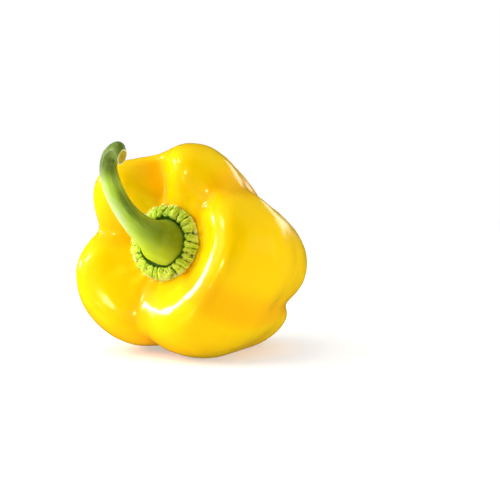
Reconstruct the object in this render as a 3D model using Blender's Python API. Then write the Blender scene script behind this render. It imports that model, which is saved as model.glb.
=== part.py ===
"""A yellow bell pepper as picked, lying on its side with its stem end facing -Y.

Three pieces, each one solid: the five-lobed fruit, the crinkled green calyx that caps
its stem end, and the thick hooked stem that stands on the calyx. Metres, +Z up.

Every piece is worked out in the pepper's own frame first. Its origin is the middle of
the seat under the calyx, its third axis runs out along the stem end, its first axis
points right and its second up for someone who looks at that end. The last function lays
the whole pepper down on its low lobes.
"""

import math

import bpy
import numpy as np
from mathutils import Matrix

MM = 0.001

# The fruit has five lobes and five furrows, numbered from 0. Furrow 0 comes just
# before lobe 0, going anticlockwise as the stem end is seen. The directions round the
# axis run furrow 0, lobe 0, furrow 1, lobe 1 and so on: inner ones beside the calyx,
# outer ones down the flanks.
INNER_DEGREES = (38.0, 70.0, 99.0, 130.0, 178.0, 212.0, 252.0, 289.0, 318.5, 364.5)
OUTER_DEGREES = (48.5, 94.0, 114.5, 142.5, 159.5, 229.0, 278.0, 316.0, 331.0, 357.5)
EVEN_DEGREES = np.arange(10) * 36.0
LOBE_REACH = np.array((44.9, 47.7, 50.3, 50.2, 48.8)) * MM
FURROW_REACH = np.array((37.8, 41.4, 36.4, 42.6, 47.7)) * MM
LOBE_RISE = np.array((9.4, 12.7, 9.3, 11.5, 14.5)) * MM
FURROW_RISE = np.array((4.8, -1.8, 4.3, 3.8, 13.9)) * MM
LOBE_DROP = np.array((72.0, 69.0, 73.0, 75.0, 73.0)) * MM
FURROW_DROP = np.array((64.0, 63.0, 64.0, 65.0, 66.0)) * MM

# The outline of a lobe or furrow, as control points of one smooth curve. It starts
# flat over the seat, climbs the shoulder as (share of the way from the seat's rim to
# full reach, share of rise), and falls as (share of reach, share of drop).
SEAT_RADIUS = 17.0 * MM
SEAT_OUTLINE = (0.0, 0.5, 0.93)
SHOULDER_OUTLINE = (
    (0.03, 0.02),
    (0.14, 0.43),
    (0.34, 0.87),
    (0.52, 1.04),
    (0.76, 1.03),
    (0.93, 0.14),
)
FLANK_OUTLINE = (
    (1.05, 0.17),
    (0.98, 0.42),
    (0.93, 0.66),
    (0.82, 0.87),
    (0.60, 1.01),
    (0.37, 1.01),
)
# The blossom scar's dimple, the same all round: (radius, depth below the seat).
SCAR_OUTLINE = ((8.5 * MM, 62.0 * MM), (3.5 * MM, 60.0 * MM), (0.0, 60.3 * MM))
# How open each furrow is on the shoulder: small is a crease, large a wide valley.
SHOULDER_FURROW_WIDTH = np.array((0.13, 0.70, 0.13, 0.12, 0.38))
FLANK_FURROW_WIDTH = 0.36

FRUIT_COLUMNS_PER_LOBE = 14
FRUIT_ROWS = 36

CALYX_RADIUS = 15.9 * MM
CALYX_GAP = 0.45 * MM
CALYX_FLOOR = 1.4 * MM
CALYX_CREST = 3.2 * MM
CALYX_EDGE = 1.0 * MM
CALYX_FOLDS = 29
CALYX_BROAD_FOLDS = 11
FOLD_DEPTH = 0.55 * MM
BROAD_FOLD_DEPTH = 0.35 * MM
SCALLOP = 0.45 * MM
CALYX_COLUMNS = 4 * CALYX_FOLDS

# The stem's route and half thickness, from its foot in the calyx to its cut end.
STEM_ROUTE = (
    (0.8, -0.1, 1.75),
    (0.8, -0.1, 4.6),
    (1.0, 0.8, 10.7),
    (-1.8, 3.0, 16.2),
    (-4.5, 6.4, 20.6),
    (-6.8, 10.2, 24.1),
    (-8.9, 14.5, 26.9),
    (-10.6, 19.5, 29.2),
    (-11.6, 23.5, 30.6),
    (-11.9, 26.6, 31.3),
    (-10.8, 30.4, 32.4),
    (-8.3, 32.7, 33.0),
    (-5.8, 33.0, 33.8),
    (-3.9, 30.1, 34.0),
)
STEM_HALF_THICKNESS = (9.45, 9.8, 7.6, 5.7, 4.7, 4.35, 4.15, 4.0, 3.8, 3.5, 3.5, 3.7, 4.0, 3.3)
# The cut end's face looks this way. The stem's rings start to turn towards it at this
# share of the route.
STEM_CUT_FACING = np.array((0.953, -0.288, -0.095))
STEM_CUT_START = 0.66
STEM_RIDGES = 5
STEM_RIDGE_SHARE = 0.045
STEM_SIDES = 20
STEM_RINGS = 40

# How far the stem end points up as the pepper rests, and how much its weight flattens
# the lobes that touch the ground.
TILT_DEGREES = 11.5
FLAT_SPOT_DEPTH = 0.9 * MM


def ease(values, start, end):
    """0 before start, 1 after end and a smooth cubic step between them."""
    t = np.clip((values - start) / (end - start), 0, 1)
    return t * t * (3 - 2 * t)


def around(values, lobe):
    """Smooth closed curve through evenly spaced values, as a sum of waves round the axis."""
    spectrum = np.fft.rfft(values) / len(values)
    total = np.full_like(lobe, spectrum[0].real)
    for turns in range(1, len(spectrum)):
        wave = np.exp(2j * np.pi * turns * lobe / len(values))
        both_ways = 1 if 2 * turns == len(values) else 2
        total += both_ways * (spectrum[turns] * wave).real
    return total


def fullness(lobe, furrow_width):
    """0 in the bottom of a furrow and 1 on a lobe's ridge, with round lobes between."""
    from_furrow = 1 - np.abs(2 * (lobe % 1) - 1)
    softened = np.hypot(from_furrow, furrow_width) - furrow_width
    climb = softened / (np.hypot(1, furrow_width) - furrow_width)
    return 1 - (1 - climb) ** 2


def between(furrows, lobes, lobe, share):
    """A measure that is the furrow's where share is 0 and the lobe's where it is 1."""
    low = around(np.asarray(furrows, float), lobe)
    high = around(np.asarray(lobes, float), lobe - 0.5)
    return low + (high - low) * share


def smooth_curve(points, places):
    """Uniform cubic B-spline of control points, at places from 0 to 1 along it."""
    first, last = 2 * points[0] - points[1], 2 * points[-1] - points[-2]
    points = np.concatenate([[first], points, [last]])
    along = np.clip(places, 0, 1) * (len(points) - 3)
    span = np.minimum(along.astype(int), len(points) - 4)
    t = (along - span).reshape((-1,) + (1,) * (points.ndim - 1))
    weights = (
        (1 - t) ** 3,
        3 * t**3 - 6 * t**2 + 4,
        -3 * t**3 + 3 * t**2 + 3 * t + 1,
        t**3,
    )
    return sum(w * points[span + k] for k, w in enumerate(weights)) / 6


def outline(reach, rise, drop):
    """Control points (distance from the axis, height) of every outline round the fruit."""
    points = [(share * SEAT_RADIUS, 0.0) for share in SEAT_OUTLINE]
    points += [(SEAT_RADIUS + a * (reach - SEAT_RADIUS), b * rise) for a, b in SHOULDER_OUTLINE]
    points += [(a * reach, -b * drop) for a, b in FLANK_OUTLINE]
    points += [(radius, -depth) for radius, depth in SCAR_OUTLINE]
    return np.array([np.broadcast_arrays(radius, height, reach)[:2] for radius, height in points])


def fruit_surface(lobe, places):
    """Points of the fruit's skin: one row for each place from seat to blossom scar.

    lobe counts round the axis, one for each lobe; places run from 0 to 1.
    """
    outward = smooth_curve(np.array([0.0, 0.0, 0.1, 0.5, 0.95, 1.0, 1.0]), places)
    flank = np.clip(smooth_curve(np.array([0.0, 0.0, 0.0, 0.6, 1.0, 1.0]), places), 0, 1)
    rows = []
    for place, out, down in zip(places, outward, flank):
        width = around(SHOULDER_FURROW_WIDTH, lobe) * (1 - down) + FLANK_FURROW_WIDTH * down
        share = fullness(lobe, width)
        reach = between(FURROW_REACH, LOBE_REACH, lobe, share)
        rise = between(FURROW_RISE, LOBE_RISE, lobe, share)
        drop = between(FURROW_DROP, LOBE_DROP, lobe, share)
        radius, height = smooth_curve(outline(reach, rise, drop), np.array([place]))[0]
        directions = np.array(INNER_DEGREES) * (1 - out) + np.array(OUTER_DEGREES) * out
        angle = np.radians(lobe * 72.0 + around(directions - EVEN_DEGREES, 2 * lobe))
        rows.append(np.stack([radius * np.cos(angle), radius * np.sin(angle), height], axis=-1))
    return np.array(rows)


def lathe_like(rows, first_pole, last_pole):
    """Vertices and faces of a closed skin: rings of points with a pole at each end."""
    count, around_count = rows.shape[:2]
    vertices = np.concatenate([rows.reshape(-1, 3), [first_pole, last_pole]])
    ring = np.arange(around_count)
    step = np.roll(ring, -1)
    faces = []
    for row in range(count - 1):
        here, there = row * around_count, (row + 1) * around_count
        faces += np.stack([here + ring, there + ring, there + step, here + step], axis=1).tolist()
    first, last = count * around_count, count * around_count + 1
    faces += [[first, a, b] for a, b in zip(ring, step)]
    end = (count - 1) * around_count
    faces += [[last, end + b, end + a] for a, b in zip(ring, step)]
    return vertices, faces


def skin_material(name, colour, roughness):
    """A plain Principled finish in the piece's own colour."""
    material = bpy.data.materials.new(name)
    material.use_nodes = True
    shader = material.node_tree.nodes["Principled BSDF"]
    shader.inputs["Base Color"].default_value = (*colour, 1.0)
    shader.inputs["Roughness"].default_value = roughness
    shader.inputs["Metallic"].default_value = 0.0
    return material


def add_piece(name, vertices, faces, material):
    """One named object from its vertices and faces, shaded smooth."""
    mesh = bpy.data.meshes.new(name)
    mesh.from_pydata([tuple(v) for v in vertices], [], faces)
    mesh.shade_smooth()
    mesh.materials.append(material)
    piece = bpy.data.objects.new(name, mesh)
    bpy.context.scene.collection.objects.link(piece)
    return piece


def make_fruit():
    """The five-lobed fruit: one solid from the seat of the calyx to the blossom scar."""
    columns = 5 * FRUIT_COLUMNS_PER_LOBE
    lobe = np.arange(columns) / FRUIT_COLUMNS_PER_LOBE
    places = np.linspace(0, 1, FRUIT_ROWS + 1)
    rows = fruit_surface(lobe, places)
    return lathe_like(rows[1:-1], rows[0].mean(axis=0), rows[-1].mean(axis=0))


def calyx_folds(angle):
    """Height of the calyx's crinkles, fine folds riding on broad ones, from -1 to 1."""
    fine = np.cos(CALYX_FOLDS * angle)
    broad = np.cos(CALYX_BROAD_FOLDS * angle + 0.9)
    return fine, broad


def make_calyx():
    """The calyx: a low dished disc whose rim is puckered into radial folds."""
    angle = np.arange(CALYX_COLUMNS) * 2 * np.pi / CALYX_COLUMNS
    fine, broad = calyx_folds(angle)
    scallop = SCALLOP * (0.5 * fine + 0.5 * broad)
    # Share of the edge radius, height, and how much of the folds shows there.
    stations = (
        (0.35, CALYX_FLOOR, 0.0),
        (0.70, CALYX_FLOOR, 0.0),
        (0.735, CALYX_FLOOR + 0.7 * MM, 0.3),
        (0.785, CALYX_CREST, 0.8),
        (0.85, CALYX_CREST - 0.25 * MM, 1.0),
        (0.92, CALYX_CREST - 1.0 * MM, 1.0),
        (0.97, CALYX_EDGE + 0.5 * MM, 0.8),
        (1.00, CALYX_EDGE, 0.4),
        (0.97, CALYX_GAP, 0.0),
        (0.55, CALYX_GAP, 0.0),
    )
    rows = []
    for share, height, fold in stations:
        radius = share * CALYX_RADIUS + fold * scallop
        up = height + fold * (FOLD_DEPTH * fine + BROAD_FOLD_DEPTH * broad)
        rows.append(np.stack([radius * np.cos(angle), radius * np.sin(angle), up], axis=-1))
    return lathe_like(np.array(rows), (0, 0, CALYX_FLOOR), (0, 0, CALYX_GAP))


def make_stem():
    """The stem: a bulb-footed, softly ridged rod that hooks over to its slanting cut end."""
    places = np.linspace(0, 1, STEM_RINGS)
    route = smooth_curve(np.array(STEM_ROUTE) * MM, places)
    half = smooth_curve(np.array(STEM_HALF_THICKNESS) * MM, places)
    heading = np.gradient(route, axis=0)
    heading /= np.linalg.norm(heading, axis=1)[:, None]
    heading += ease(places, STEM_CUT_START, 1)[:, None] * (STEM_CUT_FACING - heading)
    heading /= np.linalg.norm(heading, axis=1)[:, None]
    side = np.array((1.0, 0.0, 0.0))
    angle = np.arange(STEM_SIDES) * 2 * np.pi / STEM_SIDES
    rows = []
    for centre, forward, radius in zip(route, heading, half):
        side = side - forward * (side @ forward)
        side /= np.linalg.norm(side)
        across = np.cross(forward, side)
        ridged = radius * (1 + STEM_RIDGE_SHARE * np.cos(STEM_RIDGES * angle))
        ring = np.outer(np.cos(angle) * ridged, side) + np.outer(np.sin(angle) * ridged, across)
        rows.append(centre + ring)
    rows = np.array(rows)
    return lathe_like(rows[::-1], route[-1], route[0])


def lay_down(pieces):
    """Turns the pepper onto its side, flattens its resting spots and centres it."""
    turn = Matrix.Rotation(math.radians(90 - TILT_DEGREES), 4, "X")
    for piece in pieces:
        piece.data.transform(turn)
    points = np.concatenate([np.array([v.co for v in piece.data.vertices]) for piece in pieces])
    low, high = points.min(axis=0), points.max(axis=0)
    floor = low[2] + FLAT_SPOT_DEPTH
    move = Matrix.Translation((-(low[0] + high[0]) / 2, -(low[1] + high[1]) / 2, -floor))
    for piece in pieces:
        piece.data.transform(move)
    for vertex in pieces[0].data.vertices:
        vertex.co.z = max(vertex.co.z, 0.0)


def main():
    """Builds the three pieces and lays the pepper down."""
    for leftover in list(bpy.data.objects):
        bpy.data.objects.remove(leftover)
    fruit = add_piece("fruit", *make_fruit(), skin_material("yellow_skin", (0.95, 0.66, 0.01), 0.22))
    calyx = add_piece("calyx", *make_calyx(), skin_material("calyx_green", (0.36, 0.55, 0.07), 0.5))
    stem = add_piece("stem", *make_stem(), skin_material("stem_green", (0.25, 0.42, 0.05), 0.45))
    lay_down([fruit, calyx, stem])


main()
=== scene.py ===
"""A yellow bell pepper lying on its side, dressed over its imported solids.

The pepper has three pieces: the five-lobed fruit, the crinkled calyx and the hooked stem.
Each is worked out as a grid of points in the pepper's own frame, in which the third axis
runs out along the stem end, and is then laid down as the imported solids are. The pieces'
own sizes are fields in millimetres, and all points are in metres.
"""

import logging
import math
from dataclasses import dataclass, field
from enum import Enum
from typing import Sequence

import bpy
import numpy as np
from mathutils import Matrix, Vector


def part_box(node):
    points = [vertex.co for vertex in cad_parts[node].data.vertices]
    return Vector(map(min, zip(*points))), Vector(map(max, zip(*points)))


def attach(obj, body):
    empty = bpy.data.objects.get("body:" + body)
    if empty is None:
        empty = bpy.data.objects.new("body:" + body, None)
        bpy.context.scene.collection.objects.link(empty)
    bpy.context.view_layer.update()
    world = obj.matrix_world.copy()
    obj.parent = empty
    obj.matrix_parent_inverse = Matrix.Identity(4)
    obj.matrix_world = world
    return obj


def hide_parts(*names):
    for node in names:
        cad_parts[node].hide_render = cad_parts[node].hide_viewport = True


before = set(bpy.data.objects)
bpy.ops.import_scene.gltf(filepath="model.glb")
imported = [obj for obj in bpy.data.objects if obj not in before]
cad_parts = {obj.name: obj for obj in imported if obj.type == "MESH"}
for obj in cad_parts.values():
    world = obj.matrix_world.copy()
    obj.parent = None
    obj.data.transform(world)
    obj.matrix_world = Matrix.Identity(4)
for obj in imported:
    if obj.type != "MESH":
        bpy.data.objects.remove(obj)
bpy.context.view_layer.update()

MM = 0.001
TURN = 2 * math.pi
LOBES = 5
DEGREES_A_LOBE = 360 / LOBES
LOG = logging.getLogger("pepper")

Colour = tuple[float, float, float]
Point = tuple[float, float, float]
Span = tuple[float, float]
Socket = bpy.types.NodeSocket
Tree = bpy.types.NodeTree


class Slot(Enum):
    """The record's material slots."""

    SKIN = "skin"
    CALYX = "calyx"
    STEM = "stem"


class Seed(Enum):
    """The uneven reliefs, each with the number that picks its waves."""

    FRUIT_SWELLS = 3
    FRUIT_RIPPLES = 5
    SCAR_EDGE = 9
    CALYX_LUMPS = 11
    CALYX_GRIT = 12
    CALYX_FOLDS = 13
    CALYX_EDGE = 15
    STEM_LINES = 21
    STEM_SWELLS = 22


def spline_spans(points: np.ndarray, places: np.ndarray) -> tuple[np.ndarray, ...]:
    """Where places fall on a uniform cubic B-spline that runs on to its two end points.

    One control point is added beyond each end, as far out as the next one is inward.

    Args:
        points: Control points along the first axis.
        places: Places from 0 to 1 along the curve.

    Returns:
        All control points, and for each place its span's number and its share of the span.
    """
    grown = np.concatenate([[2 * points[0] - points[1]], points, [2 * points[-1] - points[-2]]])
    along = np.clip(places, 0, 1) * (len(grown) - 3)
    span = np.minimum(along.astype(int), len(grown) - 4)
    return grown, span, along - span


def basis(t: np.ndarray) -> tuple[np.ndarray, ...]:
    """The cubic B-spline's four weights.

    Args:
        t: Share of a span.

    Returns:
        The weights of the span's four control points, in order.
    """
    return (
        (1 - t) ** 3 / 6,
        (3 * t**3 - 6 * t**2 + 4) / 6,
        (-3 * t**3 + 3 * t**2 + 3 * t + 1) / 6,
        t**3 / 6,
    )


def smooth_curve(points: np.ndarray, places: np.ndarray) -> np.ndarray:
    """Cubic B-spline of control points: the four nearest, weighed with the spline's basis.

    Args:
        points: Control points along the first axis, of any shape after it.
        places: Places from 0 to 1 along the curve.

    Returns:
        One row for each place.
    """
    grown, span, share = spline_spans(points, places)
    t = share.reshape((-1,) + (1,) * (points.ndim - 1))
    return sum(w * grown[span + k] for k, w in enumerate(basis(t)))


def smooth_rows(points: np.ndarray, places: np.ndarray) -> np.ndarray:
    """The same spline where each place has its own control points.

    Args:
        points: Control points, as (number, place, column).
        places: Places from 0 to 1 along the curve.

    Returns:
        Values, as (place, column).
    """
    grown, span, share = spline_spans(points, places)
    row = np.arange(len(places))
    return sum(w * grown[span + k, row] for k, w in enumerate(basis(share[:, None])))


def around(values: Sequence[float], lobe: np.ndarray) -> np.ndarray:
    """Smooth closed curve through evenly spaced values, as a sum of waves round the axis.

    The values' Fourier transform gives each wave's size and phase.

    Args:
        values: The value at each whole number.
        lobe: Places round the axis, which come round again after the last value.

    Returns:
        The curve at each place.
    """
    spectrum = np.fft.rfft(np.asarray(values, float)) / len(values)
    total = np.full_like(lobe, spectrum[0].real)
    for turns in range(1, len(spectrum)):
        wave = np.exp(1j * TURN * turns * lobe / len(values))
        both_ways = 1 if 2 * turns == len(values) else 2
        total += both_ways * (spectrum[turns] * wave).real
    return total


def waves(angle: np.ndarray, table: Sequence[Point]) -> np.ndarray:
    """Sum of sines round the axis, each given as its size, waves a turn and phase."""
    return sum(size * np.sin(turns * angle + phase) for size, turns, phase in table)


def ease(values: np.ndarray, start: float, end: float) -> np.ndarray:
    """0 before start, 1 after end and a smooth cubic step between them."""
    t = np.clip((values - start) / (end - start), 0, 1)
    return t * t * (3 - 2 * t)


def ease_mm(values: np.ndarray, span: Span) -> np.ndarray:
    """The same step for values in metres, over a span in millimetres."""
    return ease(values, span[0] * MM, span[1] * MM)


def swells(points: np.ndarray, length: float, seed: Seed, count: int = 28,
           spread: Span = (0.7, 1.5)) -> np.ndarray:
    """Soft uneven relief with no seam: a sum of plane waves in seeded directions.

    Args:
        points: Points in metres, as (..., 3).
        length: Middle wavelength in metres.
        seed: Picks the directions, lengths and phases.
        count: How many waves are added.
        spread: The shortest and the longest wave, as shares of length.

    Returns:
        Values about 0 with a spread of about 1.
    """
    rng = np.random.default_rng(seed.value)
    heading = rng.normal(size=(count, 3))
    heading /= np.linalg.norm(heading, axis=1)[:, None]
    pitch = length * rng.uniform(*spread, count)
    phase = rng.uniform(0, TURN, count)
    total = np.zeros(points.shape[:-1])
    for direction, long, shift in zip(heading, pitch, phase):
        total += np.sin(points @ direction * TURN / long + shift)
    return total * math.sqrt(2 / count)


def swells_mm(points: np.ndarray, size: Span, seed: Seed) -> np.ndarray:
    """The same relief in metres, of a length and a height in millimetres."""
    return swells(points, size[0] * MM, seed) * size[1] * MM


def grid_normals(rows: np.ndarray) -> np.ndarray:
    """Unit normals of a grid that closes on itself along its second axis.

    Each is the cross product of the steps to the neighbours along the two axes.

    Args:
        rows: Points, as (ring, column, 3).

    Returns:
        Vectors, as (ring, column, 3).
    """
    along = np.gradient(rows, axis=0)
    across = (np.roll(rows, -1, axis=1) - np.roll(rows, 1, axis=1)) / 2
    normal = np.cross(along, across)
    return normal / np.maximum(np.linalg.norm(normal, axis=-1, keepdims=True), 1e-12)


def direction(azimuth: float, elevation: float) -> Vector:
    """Unit vector from the pepper to a place at that azimuth and elevation, in degrees."""
    a, e = math.radians(azimuth), math.radians(elevation)
    return Vector((math.sin(a) * math.cos(e), -math.cos(a) * math.cos(e), math.sin(e)))


@dataclass
class Surface:
    """A closed surface: rings of points, a pole at each end, and values kept on them."""

    rows: np.ndarray
    first_pole: np.ndarray
    last_pole: np.ndarray
    values: dict[str, np.ndarray]

    def faces(self) -> tuple[np.ndarray, np.ndarray]:
        """Joins neighbouring rings with quads, and each end ring to its pole.

        Returns:
            The corners of the quads, as (quad, 4), and of the triangles, as (triangle, 3).
        """
        count, columns = self.rows.shape[:2]
        ring = np.arange(columns)
        step = np.roll(ring, -1)
        here = np.arange(count - 1)[:, None] * columns
        there = here + columns
        quads = np.stack([here + ring, there + ring, there + step, here + step], axis=-1)
        first, last = count * columns, count * columns + 1
        end = (count - 1) * columns
        near = np.stack([np.full(columns, first), ring, step], axis=-1)
        far = np.stack([np.full(columns, last), end + step, end + ring], axis=-1)
        return quads.reshape(-1, 4), np.concatenate([near, far])

    def with_poles(self, name: str) -> np.ndarray:
        """A kept value for every vertex: a pole takes the mean of its ring.

        Args:
            name: The value's name.

        Returns:
            One value or vector a vertex, with those of the two poles last.
        """
        kept = self.values[name]
        flat = kept.reshape(-1, *kept.shape[2:])
        ends = np.stack([kept[0].mean(axis=0), kept[-1].mean(axis=0)])
        return np.concatenate([flat, ends])

    def to_object(self, name: str, slot: Slot, stands_for: str) -> bpy.types.Object:
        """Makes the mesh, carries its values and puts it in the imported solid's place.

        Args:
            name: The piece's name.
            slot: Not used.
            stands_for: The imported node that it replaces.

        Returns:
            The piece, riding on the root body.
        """
        mesh = bpy.data.meshes.new(name)
        vertices = np.concatenate([self.rows.reshape(-1, 3), [self.first_pole, self.last_pole]])
        quads, triangles = self.faces()
        corners = np.concatenate([quads.ravel(), triangles.ravel()])
        starts = np.concatenate([
            np.arange(len(quads)) * 4,
            quads.size + np.arange(len(triangles)) * 3,
        ])
        mesh.vertices.add(len(vertices))
        mesh.vertices.foreach_set("co", vertices.astype(np.float32).ravel())
        mesh.loops.add(len(corners))
        mesh.loops.foreach_set("vertex_index", corners.astype(np.int32))
        mesh.polygons.add(len(starts))
        mesh.polygons.foreach_set("loop_start", starts.astype(np.int32))
        mesh.update(calc_edges=True)
        mesh.validate()
        mesh.shade_smooth()
        for key in self.values:
            kept = self.with_poles(key)
            kind, part = ("FLOAT_VECTOR", "vector") if kept.ndim == 2 else ("FLOAT", "value")
            attribute = mesh.attributes.new(key, kind, "POINT")
            attribute.data.foreach_set(part, kept.astype(np.float32).ravel())
        piece = bpy.data.objects.new(name, mesh)
        bpy.context.scene.collection.objects.link(piece)
        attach(piece, "root")
        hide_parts(stands_for)
        return piece


class Graph:
    """Adds and joins the nodes of one material or node group."""

    column_width = 220

    def __init__(self, tree: Tree) -> None:
        """Starts on an emptied tree."""
        self.tree = tree
        self.tree.nodes.clear()

    def set(self, socket: Socket, value: object) -> None:
        """Joins an input to another node's output, or sets its own value.

        Args:
            socket: The input.
            value: The output, or a number, colour or vector.
        """
        if isinstance(value, Socket):
            self.tree.links.new(value, socket)
        elif isinstance(value, tuple) and socket.type == "RGBA":
            socket.default_value = (*value[:3], 1.0)
        else:
            socket.default_value = value

    def node(self, kind: str, inputs: dict | None = None, **settings: object) -> bpy.types.Node:
        """Adds one node.

        Args:
            kind: Blender's name for its type.
            inputs: Outputs or values to put in, by the input's name or number.
            **settings: The node's own settings, made first.

        Returns:
            The node.
        """
        made = self.tree.nodes.new(kind)
        made.location = (self.column_width * len(self.tree.nodes), 0)
        for key, value in settings.items():
            setattr(made, key, value)
        for key, value in (inputs or {}).items():
            self.set(made.inputs[key], value)
        return made

    def attribute(self, name: str, part: str = "Fac") -> Socket:
        """A value kept on the piece's points."""
        return self.node("ShaderNodeAttribute", attribute_name=name).outputs[part]

    def position(self) -> Socket:
        """Object coordinates, in metres."""
        return self.node("ShaderNodeTexCoord").outputs["Object"]

    def maths(self, operation: str, a: object, b: object) -> Socket:
        """One sum on two values."""
        return self.node("ShaderNodeMath", {0: a, 1: b}, operation=operation).outputs[0]

    def vector_maths(self, operation: str, inputs: dict, output: str = "Vector") -> Socket:
        """One sum on vectors."""
        return self.node("ShaderNodeVectorMath", inputs, operation=operation).outputs[output]

    def ramp(self, value: object, span: Span, ends: Span = (0.0, 1.0)) -> Socket:
        """A smooth step of value over a span.

        Args:
            value: The value that it follows.
            span: Where in value the step starts and ends.
            ends: What it puts out before the span and after it.

        Returns:
            The stepped value.
        """
        inputs = dict(zip(("From Min", "From Max", "To Min", "To Max"), (*span, *ends)))
        made = self.node("ShaderNodeMapRange", {"Value": value, **inputs},
                         interpolation_type="SMOOTHSTEP")
        return made.outputs["Result"]

    def blend(self, share: object, a: object, b: object) -> Socket:
        """Colour a where share is 0 and colour b where it is 1."""
        made = self.node("ShaderNodeMix", {0: share, 6: a, 7: b}, data_type="RGBA")
        return made.outputs[2]

    def noise(self, vector: object, scale: object, detail: float = 2.0) -> Socket:
        """Soft noise from 0 to 1."""
        inputs = {"Vector": vector, "Scale": scale, "Detail": detail}
        return self.node("ShaderNodeTexNoise", inputs).outputs["Fac"]

    def group(self, tree: Tree, inputs: dict) -> bpy.types.Node:
        """One use of a shared effect, with its own values."""
        return self.node("ShaderNodeGroup", inputs, node_tree=tree)


def shared_tree(name: str, inputs: Sequence[tuple], outputs: Sequence[tuple]) -> Tree:
    """An empty node group with named sockets.

    Args:
        name: The group's name.
        inputs: (name, socket type, default) for each input.
        outputs: (name, socket type) for each output.

    Returns:
        The group's node tree.
    """
    tree = bpy.data.node_groups.new(name, "ShaderNodeTree")
    for label, kind, default in inputs:
        socket = tree.interface.new_socket(label, in_out="INPUT", socket_type=kind)
        socket.default_value = default
    for label, kind in outputs:
        tree.interface.new_socket(label, in_out="OUTPUT", socket_type=kind)
    return tree


@dataclass(frozen=True)
class Mottle:
    """Two sizes of soft colour patches, which every living surface here has."""

    finer_by: float = 5.5
    broad_share: float = 0.7
    fine_share: float = 0.3
    patch_span: Span = (0.38, 0.66)

    def build(self) -> Tree:
        """Makes the node group: two noises are added and stepped to a mask.

        Returns:
            The group, which puts out the mottled colour and the mask.
        """
        tree = shared_tree(
            "mottle",
            [
                ("Colour", "NodeSocketColor", (1.0, 1.0, 1.0, 1.0)),
                ("Patch Colour", "NodeSocketColor", (0.5, 0.5, 0.5, 1.0)),
                ("Vector", "NodeSocketVector", (0.0, 0.0, 0.0)),
                ("Scale", "NodeSocketFloat", 60.0),
                ("Amount", "NodeSocketFloat", 0.3),
            ],
            [("Colour", "NodeSocketColor"), ("Mask", "NodeSocketFloat")],
        )
        graph = Graph(tree)
        given = graph.node("NodeGroupInput").outputs
        broad = graph.noise(given["Vector"], given["Scale"], 3.0)
        fine_scale = graph.maths("MULTIPLY", given["Scale"], self.finer_by)
        fine = graph.noise(given["Vector"], fine_scale)
        both = graph.maths("ADD", graph.maths("MULTIPLY", broad, self.broad_share),
                           graph.maths("MULTIPLY", fine, self.fine_share))
        mask = graph.ramp(both, self.patch_span)
        share = graph.maths("MULTIPLY", mask, given["Amount"])
        colour = graph.blend(share, given["Colour"], given["Patch Colour"])
        graph.node("NodeGroupOutput", {"Colour": colour, "Mask": mask})
        return tree


@dataclass(frozen=True)
class Pores:
    """Fine pitted grain: shallow cells over smaller noise."""

    grain_scale: float = 0.6
    grain_height: float = 0.5
    dot_radius: float = 0.28

    def build(self) -> Tree:
        """Makes the node group: the distance from a cell's middle gives its pit and its dot.

        Returns:
            The group, which puts out a height from 0 to about 1 and a mask of dots.
        """
        tree = shared_tree(
            "pores",
            [
                ("Vector", "NodeSocketVector", (0.0, 0.0, 0.0)),
                ("Cells", "NodeSocketFloat", 1500.0),
                ("Pits", "NodeSocketFloat", 0.5),
            ],
            [("Height", "NodeSocketFloat"), ("Dots", "NodeSocketFloat")],
        )
        graph = Graph(tree)
        given = graph.node("NodeGroupInput").outputs
        where = {"Vector": given["Vector"], "Scale": given["Cells"]}
        away = graph.node("ShaderNodeTexVoronoi", where).outputs["Distance"]
        fine_scale = graph.maths("MULTIPLY", given["Cells"], self.grain_scale)
        fine = graph.noise(given["Vector"], fine_scale, 3.0)
        pits = graph.maths("MULTIPLY", away, given["Pits"])
        height = graph.maths("ADD", pits, graph.maths("MULTIPLY", fine, self.grain_height))
        dots = graph.ramp(away, (0.0, self.dot_radius), (1.0, 0.0))
        graph.node("NodeGroupOutput", {"Height": height, "Dots": dots})
        return tree


@dataclass(frozen=True)
class Shared:
    """The node groups that the finishes share."""

    mottle: Tree
    pores: Tree

    def patched(self, graph: Graph, place: Socket, base: object, patch: Colour,
                size: Span) -> Socket:
        """A base colour with soft patches of another, of a scale and an amount."""
        inputs = {"Colour": base, "Patch Colour": patch, "Vector": place,
                  "Scale": size[0], "Amount": size[1]}
        return graph.group(self.mottle, inputs).outputs["Colour"]

    def pitted(self, graph: Graph, place: Socket, size: Span) -> bpy.types.Node:
        """Pores, of so many cells a metre and of a depth."""
        return graph.group(self.pores, {"Vector": place, "Cells": size[0], "Pits": size[1]})


def new_material(name: str) -> tuple[bpy.types.Material, Graph]:
    """Starts a node material.

    Args:
        name: The material's name.

    Returns:
        The empty material and the graph that fills it.
    """
    material = bpy.data.materials.new(name)
    material.use_nodes = True
    return material, Graph(material.node_tree)


@dataclass(frozen=True)
class Lustre:
    """How a living surface takes light: its fine bump, its gloss and the glow inside it."""

    bump_strength: float
    bump_distance: float
    ior: float
    glow: float
    glow_scale: float
    glow_radius: Point
    gloss: float = 0.5
    gloss_tint: Colour = (1.0, 1.0, 1.0)

    def shade(self, graph: Graph, colour: Socket, rough: Socket, height: Socket) -> None:
        """Adds the bump, the shader and the material's output.

        Args:
            graph: The material's graph.
            colour: The surface's colour.
            rough: Its roughness.
            height: Its fine relief, from 0 to about 1.
        """
        bump = graph.node("ShaderNodeBump", {
            "Height": height, "Strength": self.bump_strength, "Distance": self.bump_distance,
        })
        shader = graph.node("ShaderNodeBsdfPrincipled", {
            "Base Color": colour, "Roughness": rough, "Normal": bump.outputs["Normal"],
            "IOR": self.ior, "Specular IOR Level": self.gloss,
            "Specular Tint": self.gloss_tint, "Subsurface Weight": self.glow,
            "Subsurface Scale": self.glow_scale, "Subsurface Radius": self.glow_radius,
        })
        graph.node("ShaderNodeOutputMaterial", {"Surface": shader.outputs["BSDF"]})


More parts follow.
